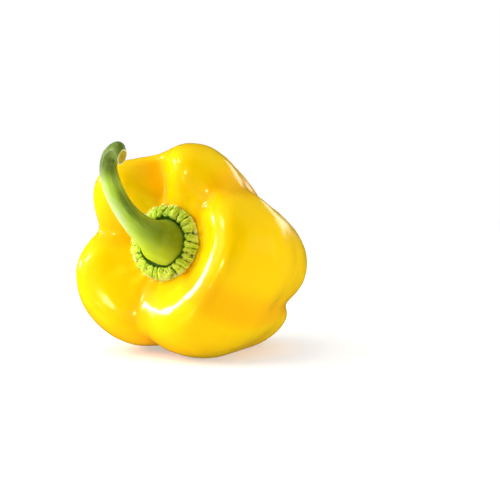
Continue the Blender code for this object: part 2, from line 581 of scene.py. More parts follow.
@dataclass(frozen=True)
class SkinFinish:
    """Ripe yellow pepper skin, waxy and glossy; painted shade and its own pigment deepen the
    furrows.

    As in the other finishes, patches holds a scale and an amount, pores the cells a metre
    and their depth, and a span the values between which one thing turns into another.
    """

    ripe: Colour = (0.96, 0.605, 0.0)
    lemon: Colour = (0.96, 0.66, 0.001)
    # Furrow colour: painted shade over the skin's partly deeper pigment.
    furrow_tone_and_shade: Colour = (0.95, 0.48, 0.0)
    cork: Colour = (0.42, 0.25, 0.07)
    freckle: Colour = (1.0, 0.68, 0.01)
    patches: Span = (34.0, 0.55)
    furrow_shade_span: Span = (0.35, 1.0)
    furrow_shade_amount: float = 0.85
    pores: Span = (1100.0, 0.35)
    freckle_amount: float = 0.10
    crust_scale: float = 900.0
    crust_span: Span = (0.3, 0.55)
    crust_least: float = 0.6
    wax_scale: float = 90.0
    wax_span: Span = (0.35, 0.7)
    wax_roughness: Span = (0.16, 0.20)
    cork_roughness: float = 0.75
    lustre: Lustre = Lustre(0.05, 0.0004, 1.45, 0.12, 0.004, (1.0, 0.55, 0.08),
                            gloss_tint=(1.0, 0.95, 0.4))

    def build(self, shared: Shared) -> bpy.types.Material:
        """Makes the material, whose furrow and scar values come from the fruit's points.

        Args:
            shared: The shared node groups.

        Returns:
            The material.
        """
        material, graph = new_material("yellow_skin")
        place = graph.position()
        colour = shared.patched(graph, place, self.ripe, self.lemon, self.patches)
        # Painted shade in the furrows, partly the skin's own deeper pigment.
        furrow_shade = graph.ramp(graph.attribute("furrow_shade"), self.furrow_shade_span, (0.0, self.furrow_shade_amount))
        colour = graph.blend(furrow_shade, colour, self.furrow_tone_and_shade)
        grain = shared.pitted(graph, place, self.pores)
        freckles = graph.maths("MULTIPLY", grain.outputs["Dots"], self.freckle_amount)
        colour = graph.blend(freckles, colour, self.freckle)
        scar = graph.attribute("scar")
        crust = graph.ramp(graph.noise(place, self.crust_scale, 4.0), self.crust_span,
                           (self.crust_least, 1.0))
        colour = graph.blend(graph.maths("MULTIPLY", scar, crust), colour, self.cork)
        wax = graph.ramp(graph.noise(place, self.wax_scale, 3.0), self.wax_span,
                         self.wax_roughness)
        cork = graph.maths("MULTIPLY", scar, self.cork_roughness)
        rough = graph.maths("MAXIMUM", wax, cork)
        self.lustre.shade(graph, colour, rough, grain.outputs["Height"])
        return material


@dataclass(frozen=True)
class CalyxFinish:
    """The calyx's crinkled green: bright on its folds, painted shade in the gaps and inside, pale
    at the edge.
    """

    crest: Colour = (0.50, 0.70, 0.02)
    bright: Colour = (0.76, 0.88, 0.09)
    # Painted shade in the gaps between the folds.
    gap_shade: Colour = (0.06, 0.15, 0.001)
    edge: Colour = (0.86, 0.90, 0.32)
    patches: Span = (420.0, 0.8)
    gap_shade_span: Span = (0.15, 0.62)
    blotch_scale: float = 500.0
    blotch_span: Span = (0.35, 0.6)
    blotch_least: float = 0.35
    pores: Span = (2600.0, 0.6)
    rough_span: Span = (0.2, 0.9)
    roughness: Span = (0.6, 0.42)
    lustre: Lustre = Lustre(0.25, 0.0003, 1.42, 0.15, 0.001, (0.6, 1.0, 0.15))

    def build(self, shared: Shared) -> bpy.types.Material:
        """Makes the material, whose fold and edge values come from the calyx's points.

        Args:
            shared: The shared node groups.

        Returns:
            The material.
        """
        material, graph = new_material("calyx_green")
        place = graph.position()
        folds = shared.patched(graph, place, self.crest, self.bright, self.patches)
        fold_shading = graph.attribute("fold_shading")
        # Painted shade: low fold values take the dark gap colour.
        colour = graph.blend(graph.ramp(fold_shading, self.gap_shade_span), self.gap_shade, folds)
        blotch = graph.ramp(graph.noise(place, self.blotch_scale), self.blotch_span,
                            (self.blotch_least, 1.0))
        edge = graph.maths("MULTIPLY", graph.attribute("edge"), blotch)
        colour = graph.blend(edge, colour, self.edge)
        grain = shared.pitted(graph, place, self.pores)
        rough = graph.ramp(fold_shading, self.rough_span, self.roughness)
        self.lustre.shade(graph, colour, rough, grain.outputs["Height"])
        return material


@dataclass(frozen=True)
class StemFinish:
    """Smooth green stem with a drying cut end. Its pale side is a painted highlight over a partly
    real pale bloom, and its dark side is painted shade.

    The swollen foot is olive, painted lighter on one side over a partly real brighter tone,
    and the hook by the cut end is darkest.
    """

    # Pale: a painted highlight over a partly real bloom, also used for pale patches.
    pale_and_lit: Colour = (0.53, 0.70, 0.28)
    green: Colour = (0.46, 0.69, 0.05)
    # Painted shade along the stem's dark side.
    side_shade_colour: Colour = (0.10, 0.175, 0.002)
    tip: Colour = (0.08, 0.13, 0.012)
    # The foot's olive is painted darker as shade and its other side painted light, both over
    # partly real tones.
    olive_and_shaded: Colour = (0.19, 0.30, 0.001)
    lit_foot: Colour = (0.46, 0.65, 0.02)
    face: Colour = (0.40, 0.29, 0.02)
    rim: Colour = (0.66, 0.72, 0.36)
    streak_stretch: Point = (1.0, 1.0, 0.14)
    streak_scale: float = 5.0
    streak_share: float = 0.6
    line_stretch: Point = (1.0, 1.0, 0.07)
    line_scale: float = 20.0
    line_share: float = 0.4
    line_height: float = 1.2
    contrast: float = 0.9
    highlight_span: Span = (0.10, 0.58)
    streak_span: Span = (0.3, 0.7)
    tip_amount: Span = (1.0, 0.8)
    patches: Span = (260.0, 0.10)
    pores: Span = (2200.0, 0.4)
    roughness: Span = (0.36, 0.46)
    lustre: Lustre = Lustre(0.2, 0.0003, 1.45, 0.1, 0.0015, (0.6, 1.0, 0.15),
                            gloss=0.4, gloss_tint=(1.0, 0.98, 0.55))

    def build(self, shared: Shared) -> bpy.types.Material:
        """Makes the material, whose streaks run along the stem by a vector kept on its points.

        Args:
            shared: The shared node groups.

        Returns:
            The material.
        """
        material, graph = new_material("stem_green")
        place = graph.position()
        grain = graph.attribute("grain", "Vector")
        broad = graph.vector_maths("MULTIPLY", {0: grain, 1: self.streak_stretch})
        streaks = graph.noise(broad, self.streak_scale, 3.0)
        narrow = graph.vector_maths("MULTIPLY", {0: grain, 1: self.line_stretch})
        lines = graph.noise(narrow, self.line_scale)
        both = graph.maths("ADD", graph.maths("MULTIPLY", streaks, self.streak_share),
                           graph.maths("MULTIPLY", lines, self.line_share))
        shift = graph.maths("MULTIPLY", graph.maths("SUBTRACT", both, 0.5), self.contrast)
        # Painted highlight on one side and painted shade on the other, broken by the streaks.
        side = graph.maths("ADD", graph.attribute("side"), shift)
        side_shade = graph.maths("ADD", graph.attribute("side_shade"), shift)
        colour = graph.blend(graph.ramp(side, self.highlight_span), self.pale_and_lit, self.green)
        colour = graph.blend(graph.ramp(side_shade, (0.0, 1.0)), colour, self.side_shade_colour)
        drying = graph.ramp(both, self.streak_span, self.tip_amount)
        tip = graph.maths("MULTIPLY", graph.attribute("tip"), drying)
        colour = graph.blend(tip, colour, self.tip)
        # Painted light on one side of the foot, over a partly real brighter tone.
        foot = graph.blend(graph.attribute("lit_foot"), self.olive_and_shaded, self.lit_foot)
        colour = graph.blend(graph.attribute("bulb"), colour, foot)
        colour = shared.patched(graph, place, colour, self.pale_and_lit, self.patches)
        colour = graph.blend(graph.attribute("cut"), colour, self.face)
        colour = graph.blend(graph.attribute("rim"), colour, self.rim)
        pitted = shared.pitted(graph, place, self.pores).outputs["Height"]
        raised = graph.maths("MULTIPLY", lines, self.line_height)
        height = graph.maths("ADD", pitted, raised)
        rough = graph.ramp(both, self.streak_span, self.roughness)
        self.lustre.shade(graph, colour, rough, height)
        return material


@dataclass
class Fruit:
    """The five-lobed yellow fruit.

    Lobes and furrows are numbered from 0, anticlockwise as the stem end is seen, and
    furrow 0 comes just before lobe 0. Directions run furrow 0, lobe 0, furrow 1 and so on.
    Each direction has its reach from the axis, the rise of its shoulder and its drop to
    the blossom end, and the outlines give shares of these. swell, ripple and scar_ragged
    are a length and a height, and the starts, ends and rim say where a relief comes and
    goes, by its radius. stem_end goes by height.
    """

    inner_degrees: tuple[float, ...] = (
        38.0, 70.0, 99.0, 130.0, 178.0, 212.0, 252.0, 289.0, 318.5, 364.5,
    )
    outer_degrees: tuple[float, ...] = (
        48.5, 94.0, 114.5, 142.5, 159.5, 229.0, 278.0, 316.0, 331.0, 357.5,
    )
    lobe_reach: tuple[float, ...] = (44.9, 47.7, 50.3, 50.2, 48.8)
    furrow_reach: tuple[float, ...] = (37.8, 41.4, 36.4, 42.6, 47.7)
    lobe_rise: tuple[float, ...] = (9.4, 12.7, 9.3, 11.5, 14.5)
    furrow_rise: tuple[float, ...] = (4.8, -1.8, 4.3, 3.8, 13.9)
    lobe_drop: tuple[float, ...] = (72.0, 69.0, 73.0, 75.0, 73.0)
    furrow_drop: tuple[float, ...] = (64.0, 63.0, 64.0, 65.0, 66.0)
    seat_radius: float = 17.0
    seat_outline: tuple[float, ...] = (0.0, 0.5, 0.93)
    shoulder_outline: tuple[Span, ...] = (
        (0.03, 0.02), (0.14, 0.43), (0.34, 0.87), (0.52, 1.04), (0.76, 1.03), (0.93, 0.14),
    )
    flank_outline: tuple[Span, ...] = (
        (1.05, 0.17), (0.98, 0.42), (0.93, 0.66), (0.82, 0.87), (0.60, 1.01), (0.37, 1.01),
    )
    scar_outline: tuple[Span, ...] = ((8.5, 62.0), (3.5, 60.0), (0.0, 60.3))
    swing_outline: tuple[float, ...] = (0.0, 0.0, 0.1, 0.5, 0.95, 1.0, 1.0)
    flank_share: tuple[float, ...] = (0.0, 0.0, 0.0, 0.6, 1.0, 1.0)
    shoulder_furrow_width: tuple[float, ...] = (0.13, 0.70, 0.13, 0.12, 0.38)
    flank_furrow_width: float = 0.36
    swell: Span = (15.0, 0.10)
    ripple: Span = (4.5, 0.02)
    swell_start: Span = (16.0, 24.0)
    stem_end: Span = (-20.0, -5.0)
    puckers: int = 17
    pucker_height: float = 0.16
    pucker_sway: Span = (1.2, 3.0)
    pucker_start: Span = (15.5, 17.5)
    pucker_end: Span = (18.0, 26.0)
    creases: int = 11
    crease_depth: float = 0.35
    crease_phase: float = 0.4
    crease_sharpness: int = 6
    crease_start: Span = (1.5, 5.0)
    crease_end: Span = (4.0, 20.0)
    scar_rim: Span = (2.2, 3.4)
    scar_ragged: Span = (2.0, 0.3)
    scar_below: float = -40.0
    columns: int = LOBES * 78
    rings: int = 212

    def furrow_share(self, lobe: np.ndarray, down: np.ndarray) -> np.ndarray:
        """0 in the bottom of a furrow and 1 on a lobe's ridge.

        The distance from the furrow is softened by a hyperbola as wide as the furrow is
        open, and then rounded by one minus the square of what is left to the ridge.

        Args:
            lobe: Place round the axis, one for each lobe.
            down: 0 on the shoulder and 1 on the flank.

        Returns:
            The share.
        """
        shoulder = around(self.shoulder_furrow_width, lobe)
        width = shoulder * (1 - down) + self.flank_furrow_width * down
        from_furrow = 1 - np.abs(2 * (lobe % 1) - 1)
        softened = np.hypot(from_furrow, width) - width
        climb = softened / (np.hypot(1, width) - width)
        return 1 - (1 - climb) ** 2

    def measure(self, furrows: Sequence[float], lobes: Sequence[float], lobe: np.ndarray,
                share: np.ndarray) -> np.ndarray:
        """A measure in millimetres: the furrow's where share is 0, the lobe's where it is 1."""
        low, high = around(furrows, lobe), around(lobes, lobe - 0.5)
        return low + (high - low) * share

    def plain(self, columns: int, rings: int) -> tuple[np.ndarray, np.ndarray]:
        """Points of the plain skin, from the seat to the blossom scar.

        Every direction round the axis has its own outline, a smooth curve whose control
        points are shares of that direction's reach, rise and drop. The directions
        themselves turn from inner_degrees to outer_degrees as the outline runs outward.

        Args:
            columns: Points in each ring.
            rings: Steps from the first ring, on the axis, to the last, on it too.

        Returns:
            Points in metres as (ring, column, 3), and how full the lobe is there.
        """
        places = np.linspace(0, 1, rings + 1)
        lobe = np.broadcast_to(np.arange(columns) * LOBES / columns, (len(places), columns))
        outward = smooth_curve(np.array(self.swing_outline), places)[:, None]
        down = np.clip(smooth_curve(np.array(self.flank_share), places), 0, 1)[:, None]
        share = self.furrow_share(lobe, down)
        reach = self.measure(self.furrow_reach, self.lobe_reach, lobe, share)
        rise = self.measure(self.furrow_rise, self.lobe_rise, lobe, share)
        drop = self.measure(self.furrow_drop, self.lobe_drop, lobe, share)
        seat = self.seat_radius
        points = [(s * seat + 0 * reach, 0 * reach) for s in self.seat_outline]
        points += [(seat + a * (reach - seat), b * rise) for a, b in self.shoulder_outline]
        points += [(a * reach, -b * drop) for a, b in self.flank_outline]
        points += [(r + 0 * reach, 0 * reach - d) for r, d in self.scar_outline]
        radius = smooth_rows(np.array([r for r, _ in points]), places)
        height = smooth_rows(np.array([h for _, h in points]), places)
        even = np.arange(2 * LOBES) * (DEGREES_A_LOBE / 2)
        inner = around(np.array(self.inner_degrees) - even, 2 * lobe)
        outer = around(np.array(self.outer_degrees) - even, 2 * lobe)
        angle = np.radians(lobe * DEGREES_A_LOBE + inner + (outer - inner) * outward)
        rows = np.stack([radius * np.cos(angle), radius * np.sin(angle), height], axis=-1) * MM
        return rows, share

    def relief(self, rows: np.ndarray) -> np.ndarray:
        """How far the real skin stands off the plain one.

        Long soft swells all over, shorter ones a fifth as high, puckers that fade out
        just past the calyx, and creases that gather round the blossom scar.

        Args:
            rows: The plain skin's points.

        Returns:
            Heights in metres, as (ring, column).
        """
        radius = np.hypot(rows[..., 0], rows[..., 1])
        angle = np.arctan2(rows[..., 1], rows[..., 0])
        stem_end = ease_mm(rows[..., 2], self.stem_end)
        uneven = swells_mm(rows, self.swell, Seed.FRUIT_SWELLS)
        uneven = uneven + swells_mm(rows, self.ripple, Seed.FRUIT_RIPPLES)
        near = ease_mm(radius, self.pucker_start) * (1 - ease_mm(radius, self.pucker_end))
        sway = self.pucker_sway[0] * np.sin(self.pucker_sway[1] * angle)
        puckers = near * stem_end * self.pucker_height * MM * np.sin(self.puckers * angle + sway)
        gather = (1 - ease_mm(radius, self.crease_end)) * ease_mm(radius, self.crease_start)
        sharp = np.abs(np.cos(self.creases / 2 * angle + self.crease_phase))
        creases = -(1 - stem_end) * gather * self.crease_depth * MM * sharp**self.crease_sharpness
        return ease_mm(radius, self.swell_start) * uneven + puckers + creases

    def surface(self) -> Surface:
        """The finished skin in the pepper's own frame.

        Returns:
            The surface, with how deep in a furrow and how much in the scar each point is.
        """
        rows, share = self.plain(self.columns, self.rings)
        first, last = rows[0].mean(axis=0), rows[-1].mean(axis=0)
        rows, share = rows[1:-1], share[1:-1]
        ragged = np.hypot(rows[..., 0], rows[..., 1])
        ragged = ragged + swells_mm(rows, self.scar_ragged, Seed.SCAR_EDGE)
        low = rows[..., 2] < self.scar_below * MM
        scar = np.where(low, 1 - ease_mm(ragged, self.scar_rim), 0)
        rows = rows + grid_normals(rows) * self.relief(rows)[..., None]
        # The furrow value is the mask of the skin's painted furrow shade.
        return Surface(rows, first, last, {"furrow_shade": 1 - share, "scar": scar})


@dataclass
class Calyx:
    """The green cap round the stem's foot, puckered into radial folds.

    Each station of its section is a share of its radius, a height in millimetres and how
    much of the folds it takes. They run up inside, over the crest and back underneath.
    """

    radius: float = 15.9
    stations: tuple[Point, ...] = (
        (0.0, 1.4, 0.0), (0.35, 1.4, 0.0), (0.60, 1.4, 0.0), (0.65, 1.6, 0.25),
        (0.675, 2.5, 0.7), (0.72, 3.45, 1.0), (0.80, 3.35, 1.0), (0.87, 2.8, 1.0),
        (0.93, 2.1, 1.0), (0.985, 1.25, 0.9), (1.02, 0.75, 0.5), (1.01, 0.3, 0.2),
        (0.95, 0.25, 0.0), (0.55, 0.25, 0.0), (0.0, 0.25, 0.0),
    )
    folds: int = 26
    fold_depth: float = 0.68
    fold_weight: float = 0.72
    fold_roundness: float = 0.6
    fine_folds: int = 79
    fine_weight: float = 0.42
    fine_roundness: float = 0.7
    fine_uneven: float = 1.4
    cross_ridges: float = 7.0
    cross_weight: float = 0.26
    cross_uneven: float = 1.6
    broad_folds: int = 9
    broad_weight: float = 0.32
    broad_phase: float = 0.9
    uneven_length: float = 4.0
    wander: tuple[Point, ...] = ((1.4, 3.0, 0.4), (1.0, 5.0, 2.0), (0.7, 8.0, 0.7))
    lean: tuple[Point, ...] = ((2.2, 4.0, 1.0), (1.8, 9.0, 0.3))
    uneven_size: tuple[Point, ...] = ((0.30, 7.0, 1.1), (0.20, 13.0, 2.7))
    lump: Span = (2.2, 0.24)
    grit: Span = (1.0, 0.12)
    crinkled_from: float = 0.7
    outward_share: float = 0.75
    scallop: float = 0.42
    scallop_span: Span = (0.9, 1.0)
    least_height: float = 0.12
    blotch_length: float = 6.0
    edge_span: Span = (0.95, 1.04)
    # Painted shade on the inside wall, by the stem's foot.
    inside_shade_span: Span = (0.68, 0.72)
    inside_shade: float = 0.85
    depth_contrast: float = 0.42
    blotch_reach: float = 0.05
    columns: int = 725
    rings: int = 112

    def crinkles(self, angle: np.ndarray, run: np.ndarray, points: np.ndarray) -> np.ndarray:
        """Height of the crinkles, about -1 in a gap and 1 on a fold.

        The main folds are the root of a cosine's size, which leaves round backs and sharp
        gaps. Their phase wanders with the angle and along the fold, and so does their
        height. Finer folds ride on them, low ridges cross them, broad swells raise some
        of them, and swells in space make them lumpy.

        Args:
            angle: Direction round the axis.
            run: Place from 0 to 1 along the section, from the inside to the edge.
            points: The plain surface's points.

        Returns:
            The height, without unit.
        """
        wander = waves(angle, self.wander)
        lean = (run - 0.5) * waves(angle, self.lean)
        uneven = swells(points, self.uneven_length * MM, Seed.CALYX_FOLDS)
        main = np.abs(np.cos((self.folds * angle + wander + lean) / 2)) ** self.fold_roundness
        fine = self.fine_folds * angle + 2 * wander - 2 * lean + self.fine_uneven * uneven
        fine = np.abs(np.cos(fine / 2)) ** self.fine_roundness
        cross = self.cross_ridges * run + self.cross_uneven * uneven + 2 * np.sin(11 * angle)
        cross = np.abs(np.cos(cross))
        height = (1 + waves(angle, self.uneven_size)) * (2 * main - 1.1) * self.fold_weight
        height = height + self.fine_weight * (fine - 0.5) + self.cross_weight * (cross - 0.5)
        broad = np.cos(self.broad_folds * angle + self.broad_phase)
        lumps = swells(points, self.lump[0] * MM, Seed.CALYX_LUMPS) * self.lump[1]
        grit = swells(points, self.grit[0] * MM, Seed.CALYX_GRIT) * self.grit[1]
        return height + self.broad_weight * broad + lumps + grit

    def surface(self) -> Surface:
        """The finished cap in the pepper's own frame.

        The section is carried round the axis. The crinkles stand square to it, scallop
        the edge outward and stay above the fruit.

        Returns:
            The surface, with the height on the folds, lowered on the inside for painted shade, and
            the nearness to the edge.
        """
        angle = np.arange(self.columns) * TURN / self.columns
        places = np.linspace(0, 1, self.rings + 2)[1:-1]
        share, height, fold = smooth_curve(np.array(self.stations), places).T[..., None]
        radius, height, fold = share * self.radius * MM, height * MM, np.clip(fold, 0, 1)
        d_radius, d_height = np.gradient(radius, axis=0), np.gradient(height, axis=0)
        size = np.hypot(d_radius, d_height)
        plain = np.stack(np.broadcast_arrays(
            radius * np.cos(angle), radius * np.sin(angle), height
        ), axis=-1)
        run = np.clip((share - self.crinkled_from) / (1 - self.crinkled_from), 0, 1)
        crinkle = self.crinkles(angle[None, :], run, plain)
        stand = crinkle * fold * self.fold_depth * MM
        ring = radius - stand * d_height / size * self.outward_share
        ring = ring + fold * ease(share, *self.scallop_span) * crinkle * self.scallop * MM
        lift = np.maximum(height + stand * d_radius / size, self.least_height * MM)
        rows = np.stack([ring * np.cos(angle), ring * np.sin(angle), lift], axis=-1)
        blotch = 0.5 + 0.5 * swells(plain, self.blotch_length * MM, Seed.CALYX_EDGE)
        # Painted shade: the fold value is lowered inside, by the stem's foot.
        inside_shading = 1 - ease(share, *self.inside_shade_span)
        fold_shading = np.clip(0.5 + crinkle * self.depth_contrast, 0, 1)
        values = {
            "fold_shading": fold_shading * (1 - self.inside_shade * inside_shading),
            "edge": ease(share + self.blotch_reach * blotch, *self.edge_span),
        }
        first, last = (np.array([0, 0, self.stations[end][1] * MM]) for end in (0, -1))
        return Surface(rows, first, last, values)


@dataclass
class Stem:
    """The thick stem, from its bulb in the calyx to its hooked cut end.

    route and half_thickness are control points of smooth curves. cut_rings shape the end:
    each is a share of the last ring's radius and how far ahead of it the ring stands.
    Starts, ends and spans in millimetres are lengths along the stem, and those of the cut,
    the rim, the painted side shade and the foot's painted lit side are shares.
    """

    route: tuple[Point, ...] = (
        (0.8, -0.1, 1.75), (0.8, -0.1, 4.6), (1.0, 0.8, 10.7), (-1.8, 3.0, 16.2),
        (-4.5, 6.4, 20.6), (-6.8, 10.2, 24.1), (-8.9, 14.5, 26.9), (-10.6, 19.5, 29.2),
        (-11.6, 23.5, 30.6), (-11.9, 26.6, 31.3), (-10.8, 30.4, 32.4), (-8.3, 32.7, 33.0),
        (-5.8, 33.0, 33.8), (-3.9, 30.1, 34.0),
    )
    half_thickness: tuple[float, ...] = (
        9.45, 9.8, 7.6, 5.7, 4.7, 4.35, 4.15, 4.0, 3.8, 3.5, 3.5, 3.7, 4.0, 3.3,
    )
    cut_facing: Point = (0.953, -0.288, -0.095)
    cut_start: float = 0.66
    cut_rings: tuple[Span, ...] = (
        (0.985, 0.18), (0.94, 0.30), (0.88, 0.26), (0.80, 0.02), (0.70, -0.14), (0.45, -0.18),
        (0.28, -0.34), (0.16, -0.62), (0.07, -0.74),
    )
    cut_depth: float = 0.76
    shaft_start: Span = (8.0, 20.0)
    shaft_end: Span = (50.0, 57.0)
    shaft_end_loss: float = 0.8
    ridges: int = 5
    ridge_share: float = 0.045
    foot_ridge: float = 0.25
    low_ridges: int = 9
    low_ridge_share: float = 0.018
    low_ridge_phase: float = 0.8
    line_length: float = 0.42
    line_stretch: Point = (1.0, 1.0, 0.05)
    swell_length: float = 7.0
    uneven_share: float = 0.010
    bulb_span: Span = (11.0, 24.0)
    tip_span: Span = (38.0, 47.0)
    wide_start: Span = (20.0, 26.0)
    wide_end: Span = (30.0, 38.0)
    # Painted highlight and painted shade along the stem's sides.
    wide_highlight: float = 0.16
    shaded_side: Point = (0.90, 0.436, 0.0)
    side_shade_span: Span = (0.6, 0.88)
    side_shade_amount: float = 0.6
    wide_side_shade: float = 0.25
    # Painted light on one side of the foot.
    lit_foot_degrees: float = 235.0
    lit_foot_span: Span = (0.25, 0.9)
    cut_span: Span = (0.78, 0.9)
    rim_inside: Span = (0.80, 0.90)
    rim_outside: Span = (0.97, 1.0)
    grain_length: float = 4.0
    columns: int = 120
    rings: int = 300

    def frames(self, heading: np.ndarray) -> tuple[np.ndarray, np.ndarray]:
        """Two directions across the route at each ring, carried along it without twist.

        Args:
            heading: The ring's own direction, as (ring, 3).

        Returns:
            The two directions, as (ring, 3) each.
        """
        side = np.array((1.0, 0.0, 0.0))
        sides = []
        for forward in heading:
            side = side - forward * (side @ forward)
            side = side / np.linalg.norm(side)
            sides.append(side)
        return np.array(sides), np.cross(heading, np.array(sides))

    def heading(self, route: np.ndarray, places: np.ndarray) -> np.ndarray:
        """The way that each ring faces: along the route, turning to the cut at its end.

        Args:
            route: The rings' middles.
            places: Their places from 0 to 1 along the route.

        Returns:
            Unit vectors, as (ring, 3).
        """
        heading = np.gradient(route, axis=0)
        heading /= np.linalg.norm(heading, axis=1)[:, None]
        turned = ease(places, self.cut_start, 1)[:, None]
        heading += turned * (np.array(self.cut_facing) - heading)
        return heading / np.linalg.norm(heading, axis=1)[:, None]

    def relief(self, length: np.ndarray, angle: np.ndarray, grain: np.ndarray,
               plain: np.ndarray) -> np.ndarray:
        """What the ridges, lines and swells add, as a share of the stem's radius.

        Five ridges run all along, low in the foot and fading at the cut end. Lower ones
        and fine lines along the stem belong to the shaft alone, and swells to all of it.

        Args:
            length: How far along the stem each ring is.
            angle: Direction round the stem of each column.
            grain: The vectors that the finish's streaks follow.
            plain: The round stem's points.

        Returns:
            The shares, as (ring, column).
        """
        fade = 1 - self.shaft_end_loss * ease_mm(length, self.shaft_end)
        shaft = (ease_mm(length, self.shaft_start) * fade)[:, None]
        held = self.foot_ridge + (1 - self.foot_ridge) * shaft
        ridge = self.ridge_share * np.cos(self.ridges * angle)[None, :] * held
        low = self.low_ridge_share * np.cos(self.low_ridges * angle + self.low_ridge_phase)
        drawn = grain * np.array(self.line_stretch) * MM
        lines = swells(drawn, self.line_length * MM, Seed.STEM_LINES) * shaft
        swell = swells(plain, self.swell_length * MM, Seed.STEM_SWELLS)
        return ridge + low[None, :] * shaft + self.uneven_share * (lines + swell)

    def paint(self, grown: np.ndarray, angle: np.ndarray, outward: np.ndarray,
              cap: np.ndarray) -> dict[str, np.ndarray]:
        """The values that the finish reads.

        Args:
            grown: How far along the stem each ring is.
            angle: Direction round the stem of each column.
            outward: Unit vectors away from the route, as (ring, column, 3).
            cap: Share of the last ring's radius, which is 1 before the cut end.

        Returns:
            For each point, how much it belongs to the bulb, the tip, the cut face and its
            rim, to the foot's painted lit side and to the stem's painted lit and shaded sides.
        """
        shape = outward.shape[:2]
        # Painted light on the foot, brightest on one side.
        lit_foot = 0.5 + 0.5 * np.cos(angle - math.radians(self.lit_foot_degrees))
        # Painted light and shade round the stem: one side pale, the other dark.
        side = 0.5 + 0.5 * (outward @ np.array(self.shaded_side))
        wide = (ease_mm(grown, self.wide_start) * (1 - ease_mm(grown, self.wide_end)))[:, None]
        values = {
            "bulb": 1 - ease_mm(grown, self.bulb_span)[:, None],
            "tip": ease_mm(grown, self.tip_span)[:, None],
            "lit_foot": ease(lit_foot, *self.lit_foot_span)[None, :],
            "side": side - self.wide_highlight * wide,
            "side_shade": ease(side, *self.side_shade_span) * (self.side_shade_amount + self.wide_side_shade * wide),
            "cut": 1 - ease(cap, *self.cut_span)[:, None],
            "rim": (ease(cap, *self.rim_inside) * (1 - ease(cap, *self.rim_outside)))[:, None],
        }
        return {name: np.broadcast_to(kept, shape) for name, kept in values.items()}

    def surface(self) -> Surface:
        """The finished stem in the pepper's own frame.

        Rings of points stand square to the route and turn towards cut_facing at its end.
        The last ones fold in over a raised rim onto the cut face, which sinks towards its
        middle. The rings are then put in the order that turns the faces outward.

        Returns:
            The surface, with the values that its finish reads.
        """
        places = np.linspace(0, 1, self.rings)
        route = smooth_curve(np.array(self.route) * MM, places)
        half = smooth_curve(np.array(self.half_thickness) * MM, places)[:, None]
        heading = self.heading(route, places)
        side, across = self.frames(heading)
        length = np.concatenate([[0], np.cumsum(np.linalg.norm(np.diff(route, axis=0), axis=1))])
        angle = np.arange(self.columns) * TURN / self.columns
        outward = np.cos(angle)[None, :, None] * side[:, None]
        outward = outward + np.sin(angle)[None, :, None] * across[:, None]
        along = length[:, None] / (self.grain_length * MM)
        grain = np.stack(np.broadcast_arrays(
            np.cos(angle)[None, :], np.sin(angle)[None, :], along
        ), axis=-1)
        plain = route[:, None] + outward * half[..., None]
        radius = half * (1 + self.relief(length, angle, grain, plain))
        rows = route[:, None] + outward * radius[..., None]
        last = outward[-1] * radius[-1][:, None]
        caps = [route[-1] + last * share + heading[-1] * ahead * MM
                for share, ahead in self.cut_rings]
        grown, outward, grain = (
            np.concatenate([kept, np.repeat(kept[-1:], len(caps), axis=0)])
            for kept in (length, outward, grain)
        )
        cap = np.concatenate([np.ones(self.rings), [share for share, _ in self.cut_rings]])
        values = {"grain": grain, **self.paint(grown, angle, outward, cap)}
        flipped = {name: kept[::-1] for name, kept in values.items()}
        pole = route[-1] - heading[-1] * self.cut_depth * MM
        return Surface(np.concatenate([rows, caps])[::-1], pole, route[0], flipped)


@dataclass
class Pepper:
    """The whole pepper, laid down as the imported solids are."""

    tilt_degrees: float = 11.5
    cad_columns: int = 70
    cad_rings: int = 36
    fruit: Fruit = field(default_factory=Fruit)
    calyx: Calyx = field(default_factory=Calyx)
    stem: Stem = field(default_factory=Stem)

    def turned(self, points: np.ndarray) -> np.ndarray:
        """Turns points about the first axis until the stem end faces -Y.

        Args:
            points: Points in the pepper's own frame, as (..., 3).

        Returns:
            The turned points.
        """
        turn = math.radians(90 - self.tilt_degrees)
        x, y, z = points[..., 0], points[..., 1], points[..., 2]
        back = y * math.cos(turn) - z * math.sin(turn)
        up = y * math.sin(turn) + z * math.cos(turn)
        return np.stack([x, back, up], axis=-1)

    def move(self) -> np.ndarray:
        """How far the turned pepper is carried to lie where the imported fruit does.

        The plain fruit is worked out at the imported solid's own fineness, and its high
        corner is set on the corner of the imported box.

        Returns:
            The way to carry it, in metres.
        """
        rows, _ = self.fruit.plain(self.cad_columns, self.cad_rings)
        corner = self.turned(rows[1:-1]).reshape(-1, 3).max(axis=0)
        return np.array(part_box("fruit")[1]) - corner

    def lay(self, surface: Surface, move: np.ndarray) -> Surface:
        """Turns a surface and carries it into place, with nothing below the ground.

        Args:
            surface: A surface in the pepper's own frame.
            move: How far it is carried.

        Returns:
            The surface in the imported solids' frame.
        """
        rows = self.turned(surface.rows) + move
        ends = self.turned(np.array([surface.first_pole, surface.last_pole])) + move
        rows[..., 2] = np.maximum(rows[..., 2], 0.0)
        return Surface(rows, ends[0], ends[1], surface.values)

    def build(self, shared: Shared) -> list[bpy.types.Object]:
        """Makes and dresses the three pieces.

        Args:
            shared: The shared node groups.

        Returns:
            The pieces.
        """
        move = self.move()
        plan = (
            ("pepper_fruit", "fruit", Slot.SKIN, self.fruit, SkinFinish()),
            ("pepper_calyx", "calyx", Slot.CALYX, self.calyx, CalyxFinish()),
            ("pepper_stem", "stem", Slot.STEM, self.stem, StemFinish()),
        )
        pieces = []
        for name, node, slot, part, finish in plan:
            piece = self.lay(part.surface(), move).to_object(name, slot, node)
            piece.data.materials.append(finish.build(shared))
            pieces.append(piece)
        return pieces


class Lamp(Enum):
    """What a soft box is for."""

    FILL = "soft light"
    GLINT = "highlight"


